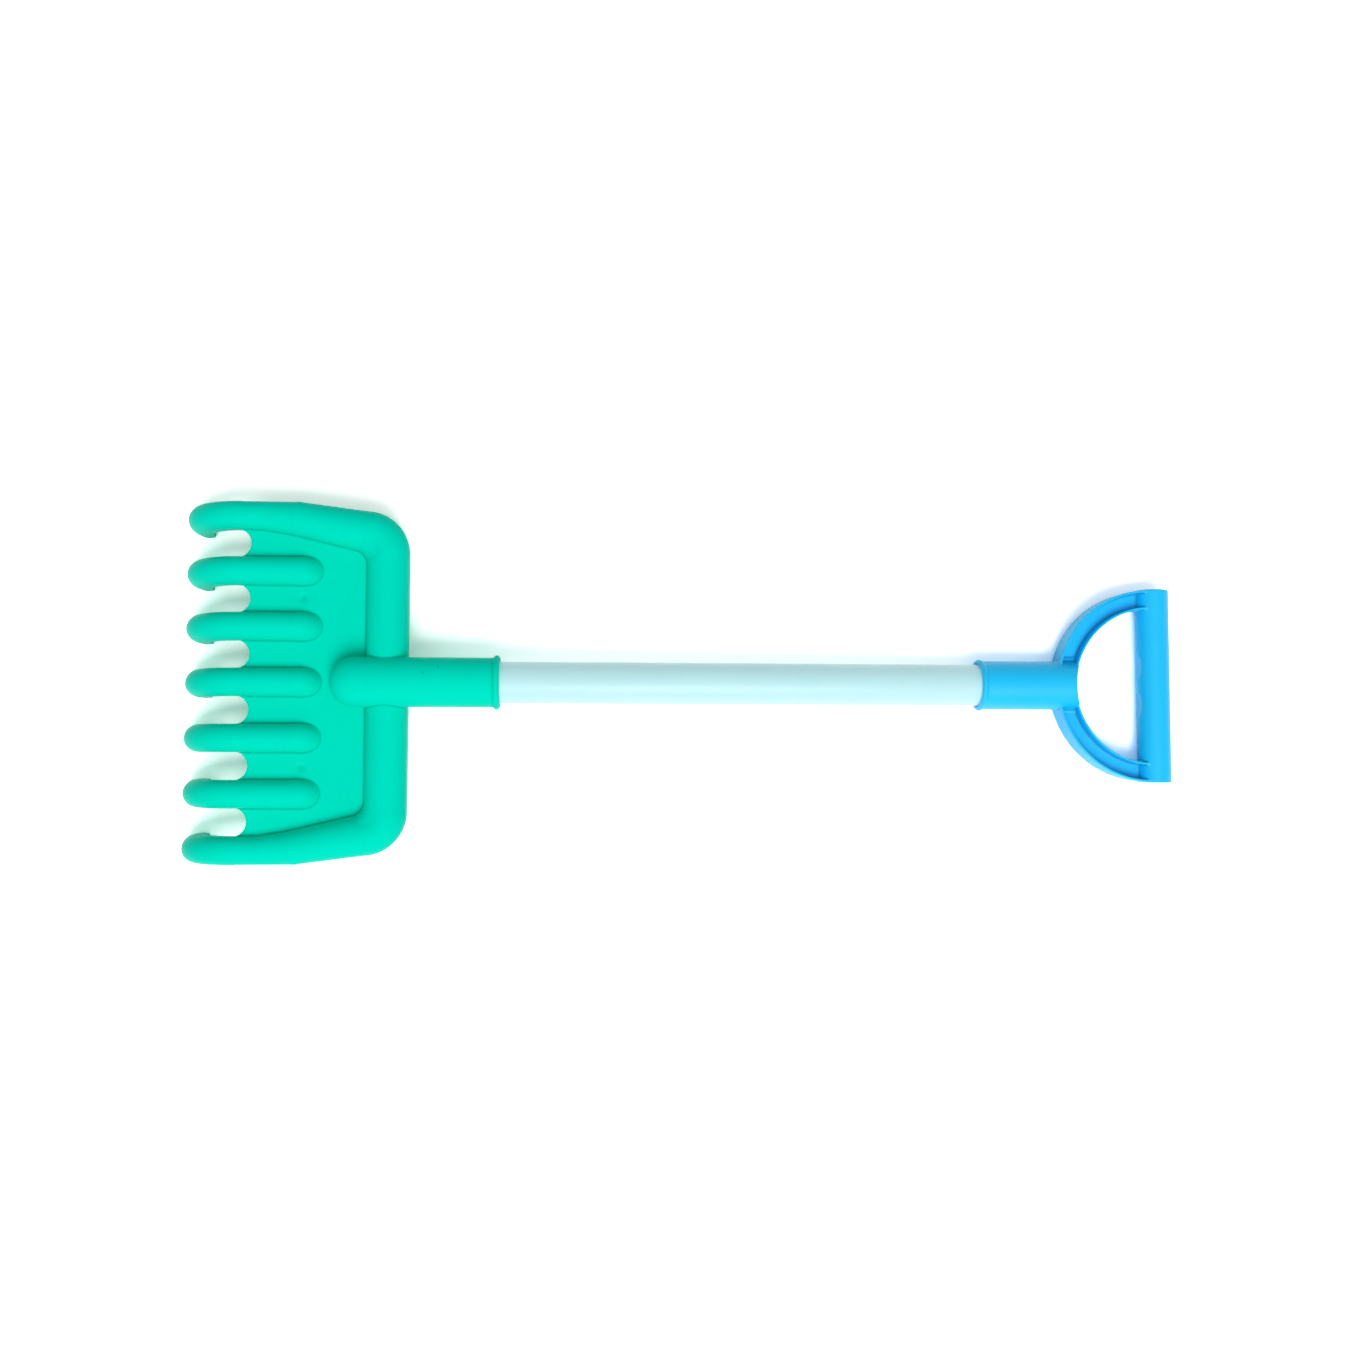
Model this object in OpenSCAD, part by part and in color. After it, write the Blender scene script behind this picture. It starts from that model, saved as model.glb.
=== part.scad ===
// Sand rake: a moulded channel head, a round tube shaft and a D handle.
// Each piece is drawn on the shaft's own axis, then the whole tool is laid down
// so that its tine tips and its handle rest on the ground, z = 0.

/* [Shaft] */
// Outer diameter of the tube
tube_d = 25; // [20:0.5:32]
// Wall of the tube
tube_wall = 1.6; // [1:0.1:3]
// Length of tube that shows between the two sockets
tube_show = 287.6; // [150:0.1:700]

/* [Sockets] */
// Radial clearance between the tube and a socket bore
fit_gap = 0.2; // [0.1:0.05:0.4]
// Wall of both sockets
socket_wall = 2.05; // [1.6:0.05:3]
// Length of the head socket, from its mouth to the end of its dome
head_socket_len = 99.7; // [90:0.1:104]
// Length of the handle socket, from its mouth to the hand opening
handle_socket_len = 60; // [40:1:90]
// Plastic left behind the tube at the end of the handle socket
handle_end_wall = 4; // [3:0.5:6]
// Distance that the handle socket's closed end leans back at its crown
handle_end_lean = 2.4; // [1:0.1:2.6]
// Width of the bead round the head socket's mouth
head_bead_w = 3.4; // [3:0.1:3.8]
// Height of the bead round the head socket's mouth
head_bead_h = 1.6; // [1.2:0.1:1.8]
// Width of the bead round the handle socket's mouth
handle_bead_w = 2.4; // [2:0.1:3]
// Height of the bead round the handle socket's mouth
handle_bead_h = 0.9; // [0.6:0.1:1.2]
// Lead-in chamfer in each socket mouth
lead_in = 0.6; // [0.3:0.1:1]

/* [Head] */
// Number of tines
tine_count = 7; // [5:1:9]
// Distance from one tine to the next
tine_pitch = 33; // [30:0.5:40]
// Width of a tine
tine_w = 16.8; // [14:0.2:20]
// Wall of the moulded shell
shell_wall = 2; // [1.6:0.1:2.4]
// Thickness of the flat plate between the ridges
plate_t = 2; // [1.5:0.1:3]
// Depth of the channel sides below the middle of a tine
skirt = 6.5; // [5:0.5:9]
// Distance of the shell's middle level below the shaft's axis
shell_drop = 6.5; // [4:0.5:8]
// Distance from the head socket's mouth to the back of the rim
neck = 54.7; // [44:0.1:64]
// Width of the rim across the back
rim_w = 24.8; // [22:0.2:27]
// Radius of the rim's corner, on the middle of the rim
corner_r = 13; // [12.8:0.2:18]
// Distance from the back of the rim to the closed end of the slots
slot_start = 93.2; // [88:0.2:110]
// Distance from the closed end of the slots to the bend of the tines
bend_start = 5.4; // [3:0.1:10]
// Radius of the bend, on the outside of a tine
bend_r = 38; // [30:0.5:50]
// Reach of the tine tips below the shaft's axis
tip_drop = 45; // [44:0.5:60]
// Rounding of the lower back corner of a tine
tip_round = 6.5; // [2:0.5:7]
// Radius of the slope where a ridge runs out into the plate
nose_r = 17; // [16.9:0.1:24]
// Distance from the back of the rim to the run-out end of the ridges
ridge_end = 51; // [48:1:70]
// Depth of the plate's top below the middle level of the shell
plate_sink = 1; // [0.5:0.5:3]
// Distance that the rim's corners are drawn in from the outer tines
corner_in = 5; // [3:0.5:8]
// Radius of the rim's inner corner
inner_corner_r = 10; // [6:0.5:14]
// Distance from the closed end of the slots to the widening arms of the rim
arm_start = 5; // [2:0.5:12]
// Distance from the closed end of the slots to the knee, where an arm starts to slant
knee_start = 28; // [22:0.5:34]
// Width of an arm of the rim at its knee
knee_w = 20.2; // [18:0.2:22]
// Turn by which a ridge's run-out dips past the plate, in degrees
nose_over = 5; // [3:1:8]

/* [Handle] */
// Outer radius of the D
d_outer_r = 58.6; // [50:0.2:75]
// Inner radius of the D, round the hand opening
d_inner_r = 46.8; // [36:0.2:48]
// Height of the arms of the D
arm_h = 16; // [12:0.5:19]
// Thickness of the two flanges of an arm
flange_t = 1.4; // [1.2:0.1:3]
// Thickness of the web between the flanges
web_t = 2; // [1.6:0.1:4]
// Width of the step in the web beside the socket
web_step_w = 2; // [1:0.5:4]
// Height of the step in the web beside the socket
web_step_h = 1; // [0.5:0.1:2]
// Diameter of the grip bar
grip_d = 19.8; // [17:0.2:26]
// Wall of the hollow grip bar
grip_wall = 3; // [2:0.1:5]
// Distance of the grip bar behind the centre of the D
grip_back = 4; // [0:0.5:5]
// Length of the grip bar beyond the arms, at each end
grip_over = 0.4; // [0.4:0.1:3]
// Depth of a finger hollow in the grip bar
finger_depth = 1.1; // [0.5:0.1:1.6]
// Length of a finger hollow
finger_len = 16; // [10:0.5:18]
// Distance between the two finger hollows
finger_pitch = 23; // [19:0.5:28]

/* [Hidden] */
$fn = 72;

// How far a side wall is set back from the round form above it
set_back = 0.3;
// How much slimmer one round form is than the next one along the rim
joint_step = 0.15;
// How far joined forms run into each other
lap = 1.5;
// How far a cutting form runs past the surface that it cuts
past = 1;
// Turn by which a hollow runs past the ends of a tine's bend
over_turn = 5;
// Steps in the drawn arcs of the plan
arc_steps = 16;

// Sockets
bore_r = tube_d / 2 + fit_gap;
socket_r = bore_r + socket_wall;
head_bore_len = head_socket_len - socket_r;
handle_bore_len = handle_socket_len - handle_end_wall;
tube_start = fit_gap - head_bore_len;
tube_end = tube_show + handle_bore_len - fit_gap;

// Head levels, and places along the shaft from the socket's mouth towards the tines
tine_r = tine_w / 2;
rim_r = rim_w / 2;
shell_z = -shell_drop;
plate_top = shell_z - plate_sink;
plate_low = plate_top - plate_t;
skirt_z = shell_z - skirt;
rim_x = -neck - rim_r;
slot_x = -neck - slot_start;
bend_x = slot_x - bend_start;
tip_x = bend_x - bend_r;
bend_axis_z = shell_z + tine_r - bend_r;
bend_turn = 90 + asin((bend_axis_z + tip_drop + past) / (bend_r - tine_r - skirt));
outer_y = (tine_count - 1) / 2 * tine_pitch;
slot_r = (tine_pitch - tine_w) / 2 + set_back;
channel_half = tine_r - set_back - shell_wall;

// Rim corner, and the slanted arm that is tangent to it and runs to the knee
corner_x = rim_x - corner_r;
corner_y = outer_y + tine_r - corner_in - corner_r - rim_r;
arm_x = slot_x + arm_start;
knee_r = knee_w / 2;
knee_x = slot_x + knee_start;
knee_y = outer_y + tine_r - knee_r;
arm_reach = norm([corner_x - knee_x, knee_y - corner_y]);
arm_turn = atan2(knee_y - corner_y, corner_x - knee_x) - asin(corner_r / arm_reach);
arm_len = sqrt(arm_reach * arm_reach - corner_r * corner_r);
front_turn = atan2(outer_y - knee_y, knee_x - arm_x);
front_len = norm([outer_y - knee_y, knee_x - arm_x]);

// Round form that fills the rim's inner corner, a little lower than the rim
fill_r = rim_r - 8 * joint_step;
fill_mid_r = inner_corner_r + fill_r;
fill_x = rim_x - rim_r + 2 * joint_step - inner_corner_r;
fill_y = corner_y - (rim_r - 4 * joint_step + inner_corner_r - corner_r) / cos(arm_turn)
    + (corner_x - fill_x) * tan(arm_turn);

// Ridge run-out: the slope turns until its crown dips under the plate
nose_axis_z = shell_z + tine_r - nose_r;
nose_turn = acos((plate_top - nose_axis_z) / nose_r);
nose_x = -neck - ridge_end - nose_r * sin(nose_turn);

// Handle places along the shaft
d_x = tube_show + handle_socket_len + d_inner_r;
grip_r = grip_d / 2;
grip_x = d_x + grip_back;
grip_len = 2 * (d_outer_r + grip_over);
finger_r = (finger_len * finger_len / 4 + finger_depth * finger_depth) / (2 * finger_depth);

// Rest: the tool turns about the tine tips until its handle meets the ground,
// with its grip bar or with the end of its socket
function rest_angle(x, z, r) =
    atan2(z + tip_drop, x - tip_x) - asin(r / norm([x - tip_x, z + tip_drop]));
rest_tilt = min(
    rest_angle(grip_x, 0, grip_r),
    rest_angle(tube_show + handle_socket_len - handle_end_lean, -socket_r, 0)
);
lift = tip_x * sin(rest_tilt) + tip_drop * cos(rest_tilt);
left_x = bend_x * cos(rest_tilt) + bend_axis_z * sin(rest_tilt) - bend_r;
right_x = grip_x * cos(rest_tilt) + grip_r;

// Points of an arc from one angle to another
function arc(center, r, from, to) =
    [for (i = [0 : arc_steps]) let (a = from + (to - from) * i / arc_steps) center + r * [cos(a), sin(a)]];

// Lays the tool down at rest, with its middle over the origin
module laid() {
    translate([-(left_x + right_x) / 2, 0, lift]) rotate([0, rest_tilt, 0]) children();
}

// Turns a profile, radius in X and length in Y, about the shaft's axis
module about_shaft() {
    rotate([0, 90, 0]) rotate_extrude() children();
}

// Repeats a form at the tines from first to last
module at_tines(first, last) {
    for (i = [first : last]) translate([0, i * tine_pitch - outer_y, 0]) children();
}

// Draws a form and its copy on the other side of the shaft
module both_sides() {
    children();
    mirror([0, 1, 0]) children();
}

// Turns a profile, radius in X, through an upright arc about a cross axis
module upright_bend(x, z, from, turn) {
    translate([x, 0, z]) rotate([90, 0, 0]) rotate([0, 0, from]) rotate_extrude(angle = turn) children();
}

// Plan of the head behind the bend, with its outside drawn in by inset
module head_plan(inset, front) {
    r = corner_r + rim_r - inset;
    side_y = outer_y + tine_r - inset;
    upper = concat(
        [[front, side_y], [knee_x, side_y]],
        arc([corner_x, corner_y], r, 90 - arm_turn, 0)
    );
    lower = [for (i = [len(upper) - 1 : -1 : 0]) [upper[i][0], -upper[i][1]]];
    polygon(concat(upper, lower));
}

// Slots between the tines, wider by grow all round
module slots(grow, front) {
    r = slot_r + grow;
    for (i = [0 : tine_count - 2]) translate([0, (i + 0.5) * tine_pitch - outer_y])
        polygon(concat([[front, -r]], arc([slot_x - slot_r, 0], r, -90, 90), [[front, r]]));
}

// Plate with the side walls of the head and of the slots under it
module walls() {
    front = bend_x - lap;
    difference() {
        translate([0, 0, skirt_z]) linear_extrude(plate_top - skirt_z) difference() {
            head_plan(set_back, front);
            slots(0, front - past);
        }
        translate([0, 0, skirt_z - past]) linear_extrude(plate_low - skirt_z + past) difference() {
            head_plan(set_back + shell_wall, front - past);
            slots(shell_wall, front - 2 * past);
        }
    }
}

// Round forms of the tines' straight stretch, drawn in by inset; the outer ones run on to side_end
module ridges(inset, side_end) {
    r = tine_r - joint_step - inset;
    front = bend_x - lap;
    translate([front, 0, shell_z]) {
        both_sides() translate([0, outer_y, 0]) rotate([0, 90, 0]) cylinder(r = r, h = side_end - front);
        at_tines(1, tine_count - 2) rotate([0, 90, 0]) cylinder(r = r, h = nose_x + lap - front);
    }
}

// Sloping ends of the inner tines' ridges, drawn in by inset
module noses(inset, turn) {
    at_tines(1, tine_count - 2) upright_bend(nose_x, nose_axis_z, 90 - turn, turn)
        translate([nose_r - tine_r, 0]) circle(tine_r - inset);
}

// Arm of the rim from its knee to its corner and to the outer tine, drawn in by inset
module arm(inset) {
    wide_r = rim_r - inset - joint_step;
    mid_r = knee_r - inset - joint_step;
    thin_r = tine_r - inset - set_back - joint_step;
    taper = (wide_r - mid_r) / arm_len;
    front_r = mid_r - joint_step;
    front_taper = (front_r - thin_r) / front_len;
    translate([knee_x, knee_y, 0]) {
        rotate([0, 90, 0]) sphere(knee_r - inset);
        rotate([0, 0, -arm_turn]) rotate([0, 90, 0])
            cylinder(r1 = mid_r, r2 = wide_r + past * taper, h = arm_len + past);
        rotate([0, 0, 180 - front_turn]) rotate([0, 90, 0])
            cylinder(r1 = front_r, r2 = thin_r - lap * front_taper, h = front_len + lap);
    }
}

// Round forms of the rim: arms, corners and back bar, drawn in by inset
module rim(inset) {
    r = rim_r - inset;
    translate([0, 0, shell_z]) {
        both_sides() {
            arm(inset);
            translate([corner_x, corner_y, 0]) rotate_extrude(angle = 90 - arm_turn)
                translate([corner_r, 0]) circle(r);
            translate([fill_x, fill_y, 0]) rotate_extrude(angle = 90 - arm_turn)
                translate([fill_mid_r, 0]) circle(fill_r - inset);
        }
        translate([rim_x, corner_y + past, 0]) rotate([90, 0, 0])
            cylinder(r = r - joint_step, h = 2 * (corner_y + past));
    }
}

// Hollow shell of the head behind the bend
module shell() {
    difference() {
        union() {
            walls();
            intersection() {
                union() {
                    ridges(0, knee_x);
                    noses(0, nose_turn + nose_over);
                    rim(0);
                }
                translate([bend_x - tine_w, -outer_y - tine_w, (plate_top + plate_low) / 2])
                    cube([tine_w - neck - bend_x + past, 2 * (outer_y + tine_w), 2 * rim_w]);
            }
        }
        ridges(shell_wall - 2 * joint_step, arm_x + lap);
        noses(shell_wall, nose_turn - nose_over);
        rim(shell_wall);
        at_tines(0, tine_count - 1) translate([bend_x - tine_w, -channel_half, skirt_z - past])
            cube([slot_x - bend_x + tine_w, 2 * channel_half, shell_z - skirt_z + past]);
    }
}

// Section of a tine's bend with its side walls, drawn in by inset
module bend_section(inset, reach) {
    half = tine_r - set_back + joint_step - inset;
    translate([bend_r - tine_r, 0]) {
        circle(tine_r - inset);
        translate([-reach, -half]) square([reach, 2 * half]);
    }
}

// Tines from the bend on, a little longer than the rest plane that cuts them
module tine_ends() {
    at_tines(0, tine_count - 1) difference() {
        upright_bend(bend_x, bend_axis_z, 90, bend_turn) bend_section(0, skirt + joint_step);
        upright_bend(bend_x, bend_axis_z, 90 - over_turn, bend_turn + 2 * over_turn)
            bend_section(shell_wall + 2 * joint_step, tine_r + past);
    }
}

// Cuts the tips level with the ground and rounds their lower back corner
module tip_cutter() {
    half_y = outer_y + tine_w;
    depth = tine_w + past;
    translate([tip_x, -half_y, -tip_drop]) rotate([0, -rest_tilt, 0]) {
        translate([-past - depth, 0, -depth]) cube([2 * depth + tine_w + skirt, 2 * half_y, depth]);
        translate([tine_r + skirt - tip_round, 0, 0]) difference() {
            translate([0, 0, -past]) cube([depth, 2 * half_y, tip_round + past]);
            translate([0, -past, tip_round]) rotate([-90, 0, 0]) cylinder(r = tip_round, h = 2 * (half_y + past));
        }
    }
}

// Section of the bead round a socket, at a place along the shaft
module bead(width, height, place) {
    translate([socket_r + height - width / 2, place]) circle(d = width);
}

// Outside of the head socket, with its dome and its bead
module head_socket() {
    about_shaft() {
        translate([0, -head_bore_len]) square([socket_r, head_bore_len]);
        bead(head_bead_w, head_bead_h, -set_back - head_bead_w / 2);
        intersection() {
            translate([0, -head_bore_len]) circle(socket_r);
            translate([0, -head_socket_len - past]) square([socket_r + past, socket_r + past]);
        }
    }
}

// Room for the tube in the head socket, closed by the dome that stops the tube
module head_bore() {
    about_shaft() {
        polygon([[0, past], [bore_r + lead_in + past, past], [bore_r, -lead_in], [bore_r, -head_bore_len],
            [0, -head_bore_len]]);
        intersection() {
            translate([0, -head_bore_len]) circle(bore_r);
            translate([0, -head_socket_len - past]) square([bore_r + past, socket_r + past]);
        }
    }
}

module rake_head() {
    color([0.02, 0.80, 0.68]) laid() difference() {
        union() {
            shell();
            tine_ends();
            head_socket();
        }
        head_bore();
        tip_cutter();
    }
}

module shaft_tube() {
    color([0.74, 0.93, 0.92]) laid() translate([tube_start, 0, 0]) rotate([0, 90, 0]) difference() {
        cylinder(d = tube_d, h = tube_end - tube_start);
        translate([0, 0, -past]) cylinder(d = tube_d - 2 * tube_wall, h = tube_end - tube_start + 2 * past);
    }
}

// Half ring round the centre of the D, swept from a section drawn at its radius
module d_half() {
    translate([d_x, 0, 0]) rotate([0, 0, 90]) rotate_extrude(angle = 180) children();
}

// Arms of the D: two flanges and a web, with a step beside the socket
module d_arms() {
    in_r = d_inner_r - past;
    out_r = d_outer_r;
    h = arm_h / 2;
    w = web_t / 2;
    d_half() polygon([
        [in_r, -h], [d_inner_r + flange_t, -h], [d_inner_r + flange_t, -w], [out_r - flange_t, -w],
        [out_r - flange_t, -h], [out_r, -h], [out_r, h], [out_r - flange_t, h], [out_r - flange_t, w],
        [d_inner_r + flange_t, w], [d_inner_r + flange_t, h], [in_r, h]
    ]);
    step_y = socket_r + web_step_w;
    intersection() {
        d_half() translate([d_inner_r + flange_t / 2, -w - web_step_h])
            square([out_r - d_inner_r - flange_t, web_t + 2 * web_step_h]);
        translate([d_x - 2 * d_outer_r, -step_y, -arm_h]) cube([2 * d_outer_r, 2 * step_y, 2 * arm_h]);
    }
}

// Outside of the handle socket, with its bead and its leaning closed end
module handle_socket() {
    lean_z = arm_h / 2 + set_back;
    slope = handle_end_lean / (socket_r - lean_z);
    difference() {
        translate([tube_show, 0, 0]) about_shaft() {
            square([socket_r, handle_socket_len + flange_t]);
            bead(handle_bead_w, handle_bead_h, set_back + handle_bead_w / 2);
        }
        for (side = [0, 1]) mirror([0, 0, side]) translate([d_x, 0, lean_z - past])
            cylinder(r1 = d_inner_r - slope * past, r2 = d_inner_r + slope * socket_r, h = socket_r + past);
    }
}

// Hollow grip bar with two finger hollows on its inner side
module grip_bar() {
    difference() {
        translate([grip_x, -grip_len / 2, 0]) rotate([-90, 0, 0]) cylinder(d = grip_d, h = grip_len);
        both_sides() translate([grip_x - grip_r + finger_depth - finger_r, finger_pitch / 2, -grip_d])
            cylinder(r = finger_r, h = 2 * grip_d);
    }
}

module d_handle() {
    color([0.16, 0.66, 0.95]) laid() difference() {
        union() {
            difference() {
                union() {
                    d_arms();
                    handle_socket();
                }
                translate([d_x, 0, -grip_d]) cylinder(r = d_inner_r, h = 2 * grip_d);
            }
            grip_bar();
        }
        translate([tube_show, 0, 0]) about_shaft() polygon([[0, -past], [bore_r + lead_in + past, -past],
            [bore_r, lead_in], [bore_r, handle_bore_len], [0, handle_bore_len]]);
        translate([grip_x, -grip_len / 2 - past, 0]) rotate([-90, 0, 0])
            cylinder(r = grip_r - grip_wall, h = grip_len + 2 * past);
    }
}

rake_head();
shaft_tube();
d_handle();
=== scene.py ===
"""Sand rake: soft moulded skins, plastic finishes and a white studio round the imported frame."""

import math

import bmesh
import bpy
from bpy.props import FloatProperty, FloatVectorProperty, IntProperty, PointerProperty
from mathutils import Euler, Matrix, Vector


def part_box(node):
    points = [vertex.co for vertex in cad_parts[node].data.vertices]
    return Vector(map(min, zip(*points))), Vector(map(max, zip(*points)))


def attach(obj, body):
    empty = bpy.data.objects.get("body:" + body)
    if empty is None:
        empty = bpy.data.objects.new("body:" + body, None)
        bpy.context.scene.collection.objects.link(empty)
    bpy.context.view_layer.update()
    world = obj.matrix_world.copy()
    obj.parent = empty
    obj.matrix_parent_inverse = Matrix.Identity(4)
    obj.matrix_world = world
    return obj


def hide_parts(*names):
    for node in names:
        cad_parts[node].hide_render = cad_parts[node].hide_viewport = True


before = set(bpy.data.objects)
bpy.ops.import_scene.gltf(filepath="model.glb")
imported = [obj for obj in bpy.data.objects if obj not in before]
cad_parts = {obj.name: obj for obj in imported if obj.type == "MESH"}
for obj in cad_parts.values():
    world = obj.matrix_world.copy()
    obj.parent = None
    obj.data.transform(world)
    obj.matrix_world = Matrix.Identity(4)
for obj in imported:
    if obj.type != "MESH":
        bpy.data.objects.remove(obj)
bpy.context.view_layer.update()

bl_info = {
    "name": "Sand Rake",
    "version": (1, 0, 0),
    "blender": (4, 5, 0),
    "location": "View3D > Sidebar > Sand Rake",
    "description": "Dresses a long-handled sand rake: moulded head, tube shaft and D handle",
    "category": "Object",
}

BODY = "root"
MM = 0.001
# Points nearer than this are one
MERGE = 0.001 * MM
# Half the side of the square floor, in metres
FLOOR_REACH = 3.0
# Width of the camera's sensor, in mm
SENSOR = 36.0
# Cosines of the angle to the key light between which the room turns from its far to its near level
ROOM_FADE = (-0.4, 0.9)

# Name of the attribute that tells how deep a point lies in a crease, the depths where the painted
# shade in the creases begins and is full, and the colour of that painted shade
CREASE = "crease"
CREASE_SHADE_LEVELS = (0.35, 0.95)
CREASE_SHADE_COLOUR = (0.0, 0.0, 0.0)

# Surface that all the plastics share: drift of the colour, rubbed patches, specks and relief
FLOW_SHARE = 0.6
RUB_LEVELS = (0.56, 0.72)
RUB_TONE = 1.06
RUB_ROUGHNESS = 0.06
CLOUD_ROUGHNESS = 0.08
SPECK_SHARE = 0.7
SPECK_TONE = 0.4
WAVE_HEIGHT = 0.4 * MM
GRAIN_HEIGHT = 0.06 * MM

# What properties of one kind have in common
COLOUR = {"subtype": "COLOR", "size": 3, "min": 0, "max": 1}
LENGTH = {"unit": "LENGTH", "subtype": "DISTANCE"}
SHARE = {"min": 0, "max": 1}

# Middles of the two round sink marks on the head's plate
PLATE_MARKS = [Vector((-224.4, side * 50.2, 33.2)) * MM for side in (1, -1)]
# Two dark specks in the plastic of the head's socket
SOCKET_SPECKS = [Vector((-150.4, 4.9, 50.5)) * MM, Vector((-142.0, 8.7, 48.0)) * MM]


def linear(red, green, blue):
    """Screen colour, 0 to 255, as the linear colour that shaders take."""
    def channel(value):
        value /= 255
        return value / 12.92 if value <= 0.04045 else ((value + 0.055) / 1.055) ** 2.4
    return channel(red), channel(green), channel(blue)


# Shader sockets and finishes


class Value:
    """An output socket of a node tree; arithmetic on it adds Math nodes."""

    def __init__(self, finish, socket):
        self.finish = finish
        self.socket = socket

    def math(self, operation, left, right):
        return self.finish.node("ShaderNodeMath", {"operation": operation}, {0: left, 1: right})

    def __add__(self, other):
        return self.math("ADD", self, other)

    def __sub__(self, other):
        return self.math("SUBTRACT", self, other)

    def __rsub__(self, other):
        return self.math("SUBTRACT", other, self)

    def __mul__(self, other):
        return self.math("MULTIPLY", self, other)

    __radd__ = __add__
    __rmul__ = __mul__


class Finish:
    """The nodes of a material or a world, with one method that adds any node to them."""

    def __init__(self, owner):
        owner.use_nodes = True
        self.tree = owner.node_tree
        self.tree.nodes.clear()

    def node(self, kind, settings, inputs, output=0):
        """Adds a node, sets it up, feeds its sockets and returns one of its outputs."""
        made = self.tree.nodes.new(kind)
        for name, setting in settings.items():
            setattr(made, name, setting)
        for name, value in inputs.items():
            if isinstance(value, Value):
                self.tree.links.new(value.socket, made.inputs[name])
            else:
                made.inputs[name].default_value = value
        return Value(self, made.outputs[output]) if made.outputs else None

    def noise(self, place, scale, detail, roughness=0.55):
        """Grey cloud noise over a place vector, in features per metre."""
        return self.node(
            "ShaderNodeTexNoise",
            {},
            {"Vector": place, "Scale": scale, "Detail": detail, "Roughness": roughness},
            "Fac",
        )

    def mask(self, value, low, high):
        """Turns a value into a mask that rises from 0 to 1 between two levels."""
        return self.node("ShaderNodeMapRange", {"clamp": True}, {0: value, 1: low, 2: high})

    def blend(self, factor, first, second):
        """Mixes two colours, each a tuple of three or a socket."""
        def colour(value):
            return value if isinstance(value, Value) else (*value, 1.0)
        return self.node(
            "ShaderNodeMix", {"data_type": "RGBA"}, {0: factor, 6: colour(first), 7: colour(second)}, 2
        )

    def bump(self, height, strength, distance, normal=None):
        """Turns a height into a shading normal, on top of another if one is given."""
        inputs = {"Strength": strength, "Distance": distance, "Height": height}
        if normal is not None:
            inputs["Normal"] = normal
        return self.node("ShaderNodeBump", {}, inputs)

    def spots(self, place, middles, radius):
        """Mask of round soft spots about given middles."""
        mask = None
        for middle in middles:
            away = self.node(
                "ShaderNodeVectorMath", {"operation": "DISTANCE"}, {0: place, 1: middle}, "Value"
            )
            spot = self.node(
                "ShaderNodeMapRange", {"interpolation_type": "SMOOTHSTEP"}, {0: away, 1: radius, 2: 0.0}
            )
            mask = spot if mask is None else mask + spot
        return mask


def in_view(finish):
    """1 for the rays that show a surface to the camera, straight or in gloss and glass, else 0."""
    rays = finish.node("ShaderNodeLightPath", {}, {}, "Is Camera Ray")
    for kind in ("Is Glossy Ray", "Is Transmission Ray"):
        rays = rays.math("MAXIMUM", rays, finish.node("ShaderNodeLightPath", {}, {}, kind))
    return rays


def shaded(colour, share):
    """A colour made lighter or darker by a share."""
    return tuple(min(1.0, channel * share) for channel in colour)


def moulded_plastic(name, look, specks=()):
    """Satin moulded plastic with grain, flow marks, rubbed patches, painted shade in the creases, dark
    specks and a painted glow.
    """
    material = bpy.data.materials.new(name)
    finish = Finish(material)
    colour = tuple(look.colour)
    place = finish.node("ShaderNodeTexCoord", {}, {}, "Object")
    flow = finish.noise(place, look.flow_scale, detail=2.0)
    cloud = finish.noise(place, look.cloud_scale, detail=4.0)
    grain = finish.noise(place, look.grain_scale, detail=2.0)
    patches = finish.noise(place, look.rub_scale, detail=6.0, roughness=0.7)
    rubbed = finish.mask(patches, *RUB_LEVELS)
    drift = flow * FLOW_SHARE + cloud * (1 - FLOW_SHARE)
    tone = finish.blend(drift, shaded(colour, 1 - look.variation), shaded(colour, 1 + look.variation))
    worn = finish.blend(rubbed * look.rub_amount, tone, shaded(colour, RUB_TONE))
    if specks:
        dots = finish.spots(place, specks, look.speck_radius)
        worn = finish.blend(dots * SPECK_SHARE, worn, shaded(colour, SPECK_TONE))
    # Painted shade: the colour darkens towards black in the creases, by how deep they lie
    if look.crease:
        depth = finish.node("ShaderNodeAttribute", {"attribute_name": CREASE}, {}, "Fac")
        worn = finish.blend(finish.mask(depth, *CREASE_SHADE_LEVELS) * look.crease, worn, CREASE_SHADE_COLOUR)
    smoothest = look.roughness - (RUB_ROUGHNESS + CLOUD_ROUGHNESS) / 2
    rough = rubbed * RUB_ROUGHNESS + cloud * CLOUD_ROUGHNESS + smoothest
    waves = finish.bump(flow, look.wave_strength, WAVE_HEIGHT)
    normal = finish.bump(grain, look.grain_strength, GRAIN_HEIGHT, waves)
    shader = finish.node(
        "ShaderNodeBsdfPrincipled",
        {},
        {
            "Base Color": worn,
            "Roughness": rough,
            "Normal": normal,
            "Specular IOR Level": look.specular,
            "Specular Tint": (*look.specular_tint, 1.0),
            "Subsurface Weight": look.glow,
            "Subsurface Radius": colour,
            "Subsurface Scale": look.glow_depth,
            # Painted light: the plastic glows in its own colour, as if lit from within
            "Emission Color": (*colour, 1.0),
            "Emission Strength": look.painted_glow,
        },
    )
    finish.node("ShaderNodeOutputMaterial", {}, {"Surface": shader})
    return material


# Settings


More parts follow.
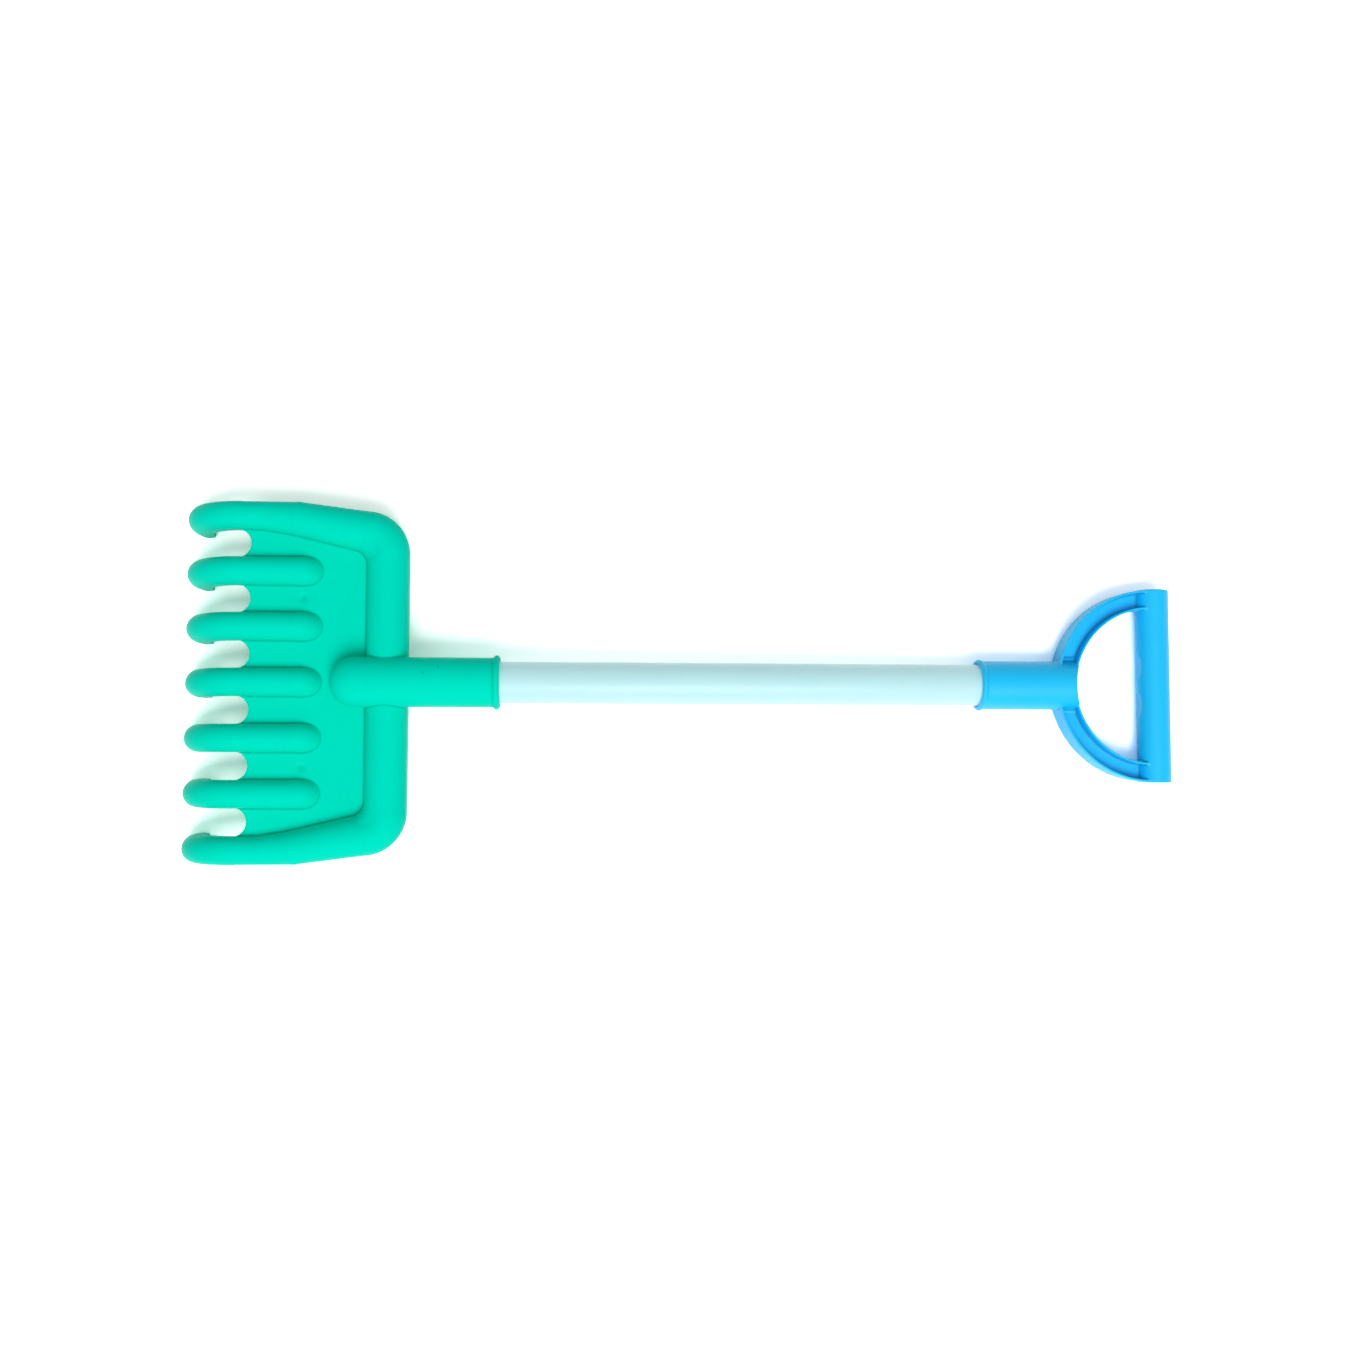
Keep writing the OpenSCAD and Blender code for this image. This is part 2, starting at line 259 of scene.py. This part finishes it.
class PlasticLook(bpy.types.PropertyGroup):
    """Colour and surface of one plastic."""

    colour: FloatVectorProperty(
        name="Colour", description="Colour of the plastic", default=(0.5, 0.5, 0.5), **COLOUR
    )
    specular_tint: FloatVectorProperty(
        name="Gloss Tint", description="Tint of the gloss", default=(1, 1, 1), **COLOUR
    )
    specular: FloatProperty(name="Gloss", description="Strength of the gloss", default=0.35, **SHARE)
    roughness: FloatProperty(name="Roughness", description="Mean roughness", default=0.42, **SHARE)
    glow: FloatProperty(
        name="Glow", description="Share of light that passes into the plastic", default=0.2, **SHARE
    )
    glow_depth: FloatProperty(
        name="Glow Depth", description="Depth that light reaches", default=3 * MM, **LENGTH
    )
    # Painted light: a glow in the plastic's own colour, though it is no lamp
    painted_glow: FloatProperty(
        name="Inner Light", description="Light that a milky wall lets through", default=0.0, min=0
    )
    variation: FloatProperty(name="Variation", description="Share by which the colour drifts", default=0.03)
    flow_scale: FloatProperty(name="Flow Scale", description="Flow marks per metre", default=18)
    cloud_scale: FloatProperty(name="Cloud Scale", description="Cloudy patches per metre", default=130)
    grain_scale: FloatProperty(name="Grain Scale", description="Grains per metre", default=2600)
    grain_strength: FloatProperty(name="Grain Strength", description="Depth of the grain", default=0.25)
    wave_strength: FloatProperty(name="Wave Strength", description="Depth of the sink waves", default=0.2)
    rub_scale: FloatProperty(name="Rub Scale", description="Rubbed patches per metre", default=60)
    rub_amount: FloatProperty(name="Rub Amount", description="Share of rubbed colour", default=0.35)
    # Painted shade: share by which the creases are painted darker
    crease: FloatProperty(
        name="Crease", description="Share by which creases are darker", default=0.0, **SHARE
    )
    speck_radius: FloatProperty(
        name="Speck Radius", description="Radius of a dark speck", default=1.1 * MM, **LENGTH
    )


class MouldSizes(bpy.types.PropertyGroup):
    """Sizes of the pieces' skins and of the tube."""

    head_voxel: FloatProperty(
        name="Head Skin", description="Cell of the head's skin", default=0.55 * MM, **LENGTH
    )
    head_passes: IntProperty(
        name="Head Softness", description="Rounds that soften the head's creases", default=2
    )
    mark_radius: FloatProperty(
        name="Mark Radius", description="Radius of a sink mark", default=4.2 * MM, **LENGTH
    )
    mark_depth: FloatProperty(
        name="Mark Depth", description="Depth of a sink mark", default=1.1 * MM, **LENGTH
    )
    handle_voxel: FloatProperty(
        name="Handle Skin", description="Cell of the handle's skin", default=0.55 * MM, **LENGTH
    )
    handle_passes: IntProperty(
        name="Handle Softness", description="Rounds that soften the handle's edges", default=2
    )
    # Creases of this radius get the full painted shade
    crease_radius: FloatProperty(
        name="Crease Radius", description="Radius of a crease that is darkest", default=1.5 * MM, **LENGTH
    )
    triangles: IntProperty(
        name="Triangles", description="Most triangles in a moulded piece", default=190000
    )
    tube_diameter: FloatProperty(
        name="Tube Diameter", description="Outside of the tube", default=25 * MM, **LENGTH
    )
    tube_wall: FloatProperty(name="Tube Wall", description="Wall of the tube", default=1.6 * MM, **LENGTH)
    tube_edge: FloatProperty(
        name="Tube Edge", description="Rounding of the tube's ends", default=0.3 * MM, **LENGTH
    )
    tube_sides: IntProperty(name="Tube Sides", description="Steps round the tube", default=128)


class StudioSettings(bpy.types.PropertyGroup):
    """Camera, lights and floor."""

    camera_place: FloatVectorProperty(
        name="Camera Place", description="Where the camera stands", subtype="TRANSLATION", unit="LENGTH",
        size=3, default=(-0.01863, -0.03758, 0.81078),
    )
    camera_turn: FloatVectorProperty(
        name="Camera Turn", description="How the camera is turned", subtype="EULER", size=3,
        default=tuple(math.radians(angle) for angle in (3.189, -1.037, 0.1115)),
    )
    lens: FloatProperty(name="Lens", description="Focal length, in mm", default=35.0)
    key_power: FloatProperty(
        name="Key Light", description="Power of the key light", default=46.0, unit="POWER"
    )
    key_distance: FloatProperty(
        name="Key Distance", description="Distance of the key light", default=2.5, **LENGTH
    )
    key_size: FloatProperty(
        name="Key Size", description="Side of the square key light", default=1.3, **LENGTH
    )
    key_height: FloatProperty(
        name="Key Height", description="Angle of the key light over the floor", subtype="ANGLE",
        default=math.radians(60),
    )
    key_side: FloatProperty(
        name="Key Side", description="Turn of the key light round the part, from +X", subtype="ANGLE",
        default=math.radians(-82),
    )
    near_light: FloatProperty(
        name="Near Light", description="Level of the room round the key light", default=0.5
    )
    far_light: FloatProperty(name="Far Light", description="Level of the room across from it", default=0.4)
    floor_grey: FloatProperty(
        name="Floor Grey", description="Share of light that the floor gives back", default=0.75
    )
    floor_lift: FloatProperty(
        name="Floor Lift", description="White added to the floor's colour in view", default=1.35
    )


# Meshes


def finished(name, mesh, material, node):
    """Makes a piece from a bmesh that stands for a CAD node, and lets it ride on the tool."""
    data = bpy.data.meshes.new(name)
    mesh.to_mesh(data)
    mesh.free()
    data.polygons.foreach_set("use_smooth", [True] * len(data.polygons))
    data.materials.append(material)
    piece = bpy.data.objects.new(name, data)
    bpy.context.scene.collection.objects.link(piece)
    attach(piece, BODY)
    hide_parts(node)
    return piece


def merged_copy(node):
    """The mesh of a CAD node with its loose triangles joined."""
    mesh = bmesh.new()
    mesh.from_mesh(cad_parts[node].data)
    bmesh.ops.remove_doubles(mesh, verts=mesh.verts, dist=MERGE)
    return mesh


def modified(mesh, kind, settings):
    """The mesh after one modifier with the given settings."""
    data = bpy.data.meshes.new("draft")
    mesh.to_mesh(data)
    mesh.free()
    draft = bpy.data.objects.new("draft", data)
    bpy.context.scene.collection.objects.link(draft)
    modifier = draft.modifiers.new("draft", kind)
    for name, setting in settings.items():
        setattr(modifier, name, setting)
    ready = draft.evaluated_get(bpy.context.evaluated_depsgraph_get())
    result = bmesh.new()
    result.from_mesh(ready.data)
    bpy.data.objects.remove(draft)
    bpy.data.meshes.remove(data)
    return result


def even_skin(mesh, voxel):
    """The same form under an even skin of small square faces."""
    return modified(mesh, "REMESH", {"mode": "VOXEL", "voxel_size": voxel})


def lighter(mesh, triangles):
    """The same skin with no more than a number of triangles, fewest where it is flat."""
    count = sum(len(face.verts) - 2 for face in mesh.faces)
    return modified(mesh, "DECIMATE", {"ratio": min(1.0, triangles / count)})


def soften(mesh, passes):
    """Rounds the creases and edges of an even skin."""
    for _ in range(passes):
        bmesh.ops.smooth_vert(
            mesh, verts=mesh.verts, factor=0.5, use_axis_x=True, use_axis_y=True, use_axis_z=True
        )


def dent(mesh, middles, radius, depth):
    """Presses round soft hollows into the top of a skin."""
    for middle in middles:
        for vert in mesh.verts:
            away = (vert.co - middle).length / radius
            if away < 1 and vert.normal.z > 0:
                vert.co.z -= depth * (1 - away * away) ** 2


def mark_creases(mesh, radius, passes=2):
    """Stores how deep each point lies in a crease: 0 on open skin, 1 in a crease of the radius. The plastic
    paints shade into the creases by this depth.
    """
    mesh.normal_update()
    mesh.verts.index_update()
    # Twice the rise of a neighbour over its squared distance is 1 / radius of the hollow that way
    bends = []
    for vert in mesh.verts:
        ways = [edge.other_vert(vert).co - vert.co for edge in vert.link_edges]
        bends.append(2 * sum(vert.normal.dot(way) / way.length_squared for way in ways) / len(ways))
    for _ in range(passes):
        bends = [
            (bends[vert.index] + sum(bends[edge.other_vert(vert).index] for edge in vert.link_edges))
            / (1 + len(vert.link_edges))
            for vert in mesh.verts
        ]
    # A crease bends across but not along, so its mean bend is half of 1 / radius
    layer = mesh.verts.layers.float.new(CREASE)
    for vert, bend in zip(mesh.verts, bends):
        vert[layer] = min(1.0, max(0.0, 2 * bend * radius))


def tube_ends():
    """The middles of the tube's two ends, from the corners of its CAD node."""
    corners = [vert.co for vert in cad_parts["shaft_tube"].data.vertices]
    low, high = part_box("shaft_tube")
    middle = (low.x + high.x) / 2
    ends = []
    for group in ([co for co in corners if co.x < middle], [co for co in corners if co.x > middle]):
        ends.append(sum(group, Vector()) / len(group))
    return ends


def tube_mesh(sizes):
    """A tube spun from its wall's section, with its end edges rounded."""
    start, end = tube_ends()
    axis = (end - start).normalized()
    across = axis.cross(Vector((0, 1, 0))).normalized()
    outside = sizes.tube_diameter / 2
    inside = outside - sizes.tube_wall
    mesh = bmesh.new()
    section = [
        mesh.verts.new(point + across * radius)
        for point, radius in ((start, inside), (end, inside), (end, outside), (start, outside))
    ]
    face = mesh.faces.new(section)
    bmesh.ops.bevel(
        mesh, geom=face.verts[:], offset=sizes.tube_edge, offset_type="OFFSET", segments=3, profile=0.5,
        affect="VERTICES", material=-1,
    )
    bmesh.ops.spin(
        mesh, geom=mesh.edges[:], cent=start, axis=axis, angle=math.tau, steps=sizes.tube_sides,
        use_merge=True,
    )
    # The section itself is the only face with more than four corners, and no part of the skin
    sections = [face for face in mesh.faces if len(face.verts) > 4]
    bmesh.ops.delete(mesh, geom=sections, context="FACES_ONLY")
    bmesh.ops.remove_doubles(mesh, verts=mesh.verts, dist=MERGE)
    bmesh.ops.recalc_face_normals(mesh, faces=mesh.faces)
    return mesh


# Operators


class RAKE_OT_head(bpy.types.Operator):
    """Make the moulded head with its tines, rim and socket"""

    bl_idname = "rake.head"
    bl_label = "Rake Head"

    def execute(self, context):
        sizes = context.scene.rake_sizes
        skin = even_skin(merged_copy("rake_head"), sizes.head_voxel)
        soften(skin, sizes.head_passes)
        dent(skin, PLATE_MARKS, sizes.mark_radius, sizes.mark_depth)
        mark_creases(skin, sizes.crease_radius)
        skin = lighter(skin, sizes.triangles)
        plastic = moulded_plastic("head_plastic", context.scene.rake_head_look, SOCKET_SPECKS)
        finished("head_moulding", skin, plastic, "rake_head")
        return {"FINISHED"}


class RAKE_OT_tube(bpy.types.Operator):
    """Make the shaft tube"""

    bl_idname = "rake.tube"
    bl_label = "Shaft Tube"

    def execute(self, context):
        plastic = moulded_plastic("tube_plastic", context.scene.rake_tube_look)
        finished("shaft_wall", tube_mesh(context.scene.rake_sizes), plastic, "shaft_tube")
        return {"FINISHED"}


class RAKE_OT_handle(bpy.types.Operator):
    """Make the moulded D handle with its grip bar and socket"""

    bl_idname = "rake.handle"
    bl_label = "D Handle"

    def execute(self, context):
        sizes = context.scene.rake_sizes
        skin = even_skin(merged_copy("d_handle"), sizes.handle_voxel)
        soften(skin, sizes.handle_passes)
        mark_creases(skin, sizes.crease_radius)
        skin = lighter(skin, sizes.triangles)
        plastic = moulded_plastic("handle_plastic", context.scene.rake_handle_look)
        finished("handle_moulding", skin, plastic, "d_handle")
        return {"FINISHED"}


def key_turn(settings):
    """The turn of the key light."""
    return Euler((0, math.pi / 2 - settings.key_height, settings.key_side), "XYZ")


def key_way(settings):
    """The direction from the part to the key light."""
    return key_turn(settings).to_matrix() @ Vector((0, 0, 1))


def key_light(settings):
    """A wide soft light from one side, as from a large window."""
    data = bpy.data.lights.new("key_light", "AREA")
    data.energy = settings.key_power
    data.size = settings.key_size
    lamp = bpy.data.objects.new("key_light", data)
    lamp.rotation_euler = key_turn(settings)
    lamp.location = key_way(settings) * settings.key_distance
    bpy.context.scene.collection.objects.link(lamp)


def white_floor(settings):
    """A pale floor that shows white to the camera and keeps the shadow."""
    mesh = bmesh.new()
    bmesh.ops.create_grid(mesh, x_segments=1, y_segments=1, size=FLOOR_REACH)
    data = bpy.data.meshes.new("floor")
    mesh.to_mesh(data)
    mesh.free()
    material = bpy.data.materials.new("floor_paper")
    finish = Finish(material)
    tone = in_view(finish) * settings.floor_lift + settings.floor_grey
    paper = finish.node("ShaderNodeBsdfDiffuse", {}, {"Color": tone})
    finish.node("ShaderNodeOutputMaterial", {}, {"Surface": paper})
    data.materials.append(material)
    floor = bpy.data.objects.new("floor", data)
    bpy.context.scene.collection.objects.link(floor)


def white_world(settings):
    """A room that is lighter round the key light, and white where the camera looks at it."""
    world = bpy.data.worlds.new("studio")
    bpy.context.scene.world = world
    finish = Finish(world)
    view = in_view(finish)
    way = finish.node("ShaderNodeTexCoord", {}, {}, "Generated")
    near = finish.node(
        "ShaderNodeVectorMath", {"operation": "DOT_PRODUCT"}, {0: way, 1: key_way(settings)}, "Value"
    )
    step = settings.near_light - settings.far_light
    level = finish.mask(near, *ROOM_FADE) * step + settings.far_light
    light = finish.node(
        "ShaderNodeBackground", {}, {"Color": (1, 1, 1, 1), "Strength": level * (1 - view) + view}
    )
    finish.node("ShaderNodeOutputWorld", {}, {"Surface": light})


def photo_camera(settings):
    """The camera, set up as the scene's own."""
    data = bpy.data.cameras.new("camera")
    data.lens = settings.lens
    data.sensor_width = SENSOR
    camera = bpy.data.objects.new("camera", data)
    camera.location = settings.camera_place
    camera.rotation_euler = Euler(settings.camera_turn, "XYZ")
    bpy.context.scene.collection.objects.link(camera)
    bpy.context.scene.camera = camera


class RAKE_OT_studio(bpy.types.Operator):
    """Make the floor, the lights and the camera"""

    bl_idname = "rake.studio"
    bl_label = "Studio"

    def execute(self, context):
        settings = context.scene.rake_studio
        context.scene.view_settings.view_transform = "Standard"
        white_floor(settings)
        white_world(settings)
        key_light(settings)
        photo_camera(settings)
        return {"FINISHED"}


class RAKE_PT_panel(bpy.types.Panel):
    """Lists the rake's pieces in the sidebar"""

    bl_idname = "RAKE_PT_panel"
    bl_label = "Sand Rake"
    bl_space_type = "VIEW_3D"
    bl_region_type = "UI"
    bl_category = "Sand Rake"

    def draw(self, context):
        for operator in OPERATORS:
            self.layout.operator(operator.bl_idname)


OPERATORS = (RAKE_OT_studio, RAKE_OT_head, RAKE_OT_tube, RAKE_OT_handle)
CLASSES = (PlasticLook, MouldSizes, StudioSettings, *OPERATORS, RAKE_PT_panel)
GROUPS = {
    "rake_head_look": PlasticLook,
    "rake_tube_look": PlasticLook,
    "rake_handle_look": PlasticLook,
    "rake_sizes": MouldSizes,
    "rake_studio": StudioSettings,
}


def register():
    for cls in CLASSES:
        bpy.utils.register_class(cls)
    for name, group in GROUPS.items():
        setattr(bpy.types.Scene, name, PointerProperty(type=group))


def unregister():
    for name in GROUPS:
        delattr(bpy.types.Scene, name)
    for cls in reversed(CLASSES):
        bpy.utils.unregister_class(cls)


def set_looks(scene):
    """Gives each plastic what sets it apart from the default look."""
    head = scene.rake_head_look
    head.colour = linear(0, 217, 188)
    head.specular_tint = (0.0, 1.0, 0.9)
    head.specular = 0.015
    head.glow = 0.12
    # Painted shade in the head's creases
    head.crease = 0.3
    tube = scene.rake_tube_look
    tube.colour = linear(181, 218, 222)
    tube.glow = 1.0
    tube.glow_depth = 6 * MM
    # Painted light: the tube glows faintly in its own colour
    tube.painted_glow = 0.16
    handle = scene.rake_handle_look
    handle.colour = linear(4, 191, 247)
    handle.roughness = 0.5
    # Painted shade in the handle's creases
    handle.crease = 0.35


def main():
    register()
    set_looks(bpy.context.scene)
    bpy.ops.rake.studio()
    bpy.ops.rake.head()
    bpy.ops.rake.tube()
    bpy.ops.rake.handle()


if __name__ == "__main__":
    main()
